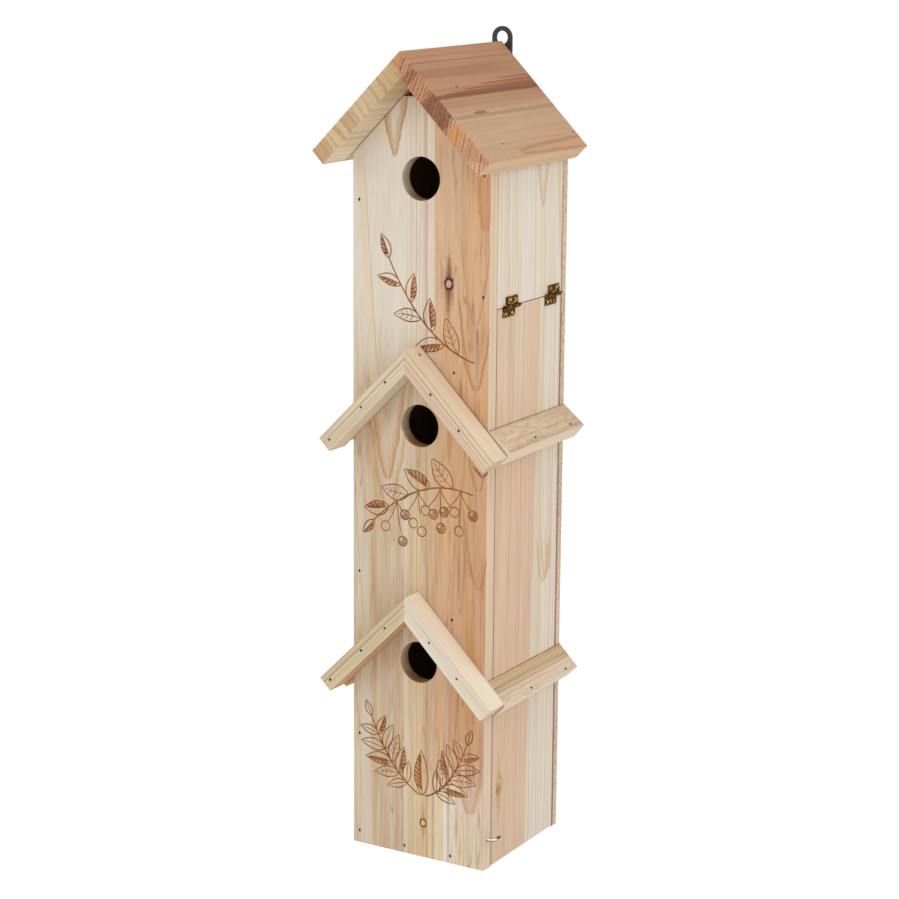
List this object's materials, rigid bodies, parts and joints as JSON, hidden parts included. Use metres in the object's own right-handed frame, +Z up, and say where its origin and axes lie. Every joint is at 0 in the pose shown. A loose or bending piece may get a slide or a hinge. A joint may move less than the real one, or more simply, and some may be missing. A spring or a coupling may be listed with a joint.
{
  "type": "multi-storey birdhouse",
  "caption": "Tall fir birdhouse of stacked nest chambers with round entrances, small front gables, a pitched roof, a top-hinged side door held by a turn hook, and a steel hanger strap.",
  "frame": {"origin": "middle of the base on the ground, halfway between the outer faces of the walls", "axes": "+X to the right side with the door, +Y to the back, +Z up; the front faces -Y"},
  "size_m": [0.1536, 0.1498, 0.626],
  "materials": {
    "front_wood": "planed untreated fir, glued of a pale and a pink board",
    "back_wood": "planed untreated fir",
    "side_wood": "planed untreated fir",
    "pale_wood": "planed untreated pale fir",
    "roof_wood": "planed untreated fir, tan with dark grain lines",
    "strip_wood": "planed untreated fir strip",
    "hinge_brass": "antiqued brass",
    "hook_zinc": "zinc-plated wire",
    "strap_black": "black-coated steel",
    "nail_steel": "dull steel wire"
  },
  "bodies": {
    "house": {"front_panel": "front_wood", "back_panel": "back_wood", "left_side_panel": "side_wood", "right_upper_panel": "pale_wood", "base_floor": "side_wood", "middle_floor": "side_wood", "upper_floor": "side_wood", "left_roof_board": "roof_wood", "right_roof_board": "roof_wood", "upper_gable_left": "strip_wood", "upper_gable_right": "strip_wood", "lower_gable_left": "strip_wood", "lower_gable_right": "strip_wood", "left_slat_upper": "strip_wood", "left_slat_lower": "strip_wood", "front_hinge_upper_leaf": "hinge_brass", "front_hinge_pin": "hinge_brass", "rear_hinge_upper_leaf": "hinge_brass", "rear_hinge_pin": "hinge_brass", "hinge_tacks_wall": "hinge_brass", "hanger_strap": "strap_black", "hanger_screws": "strap_black", "front_brads": "nail_steel", "back_brads": "nail_steel", "gable_brads": "nail_steel", "apex_brad": "nail_steel", "roof_brads": "nail_steel", "left_slat_brads": "nail_steel"},
    "door": {"clean_out_door": "side_wood", "door_slat_upper": "strip_wood", "door_slat_lower": "strip_wood", "front_hinge_lower_leaf": "hinge_brass", "rear_hinge_lower_leaf": "hinge_brass", "hinge_tacks_door": "hinge_brass", "door_slat_brads": "nail_steel"},
    "hook": {"turn_hook": "hook_zinc"}
  },
  "joints": [
    {"name": "door_swing", "type": "hinge", "parent": "house", "child": "door", "pos_m": [0.0604, 0, 0.43], "axis": [0, -1, 0], "range_deg": [0, 110]},
    {"name": "hook_turn", "type": "hinge", "parent": "house", "child": "hook", "pos_m": [0.0585, -0.0545, 0.0245], "axis": [0.9945, 0, 0.1045], "range_deg": [-90, 90]}
  ]
}
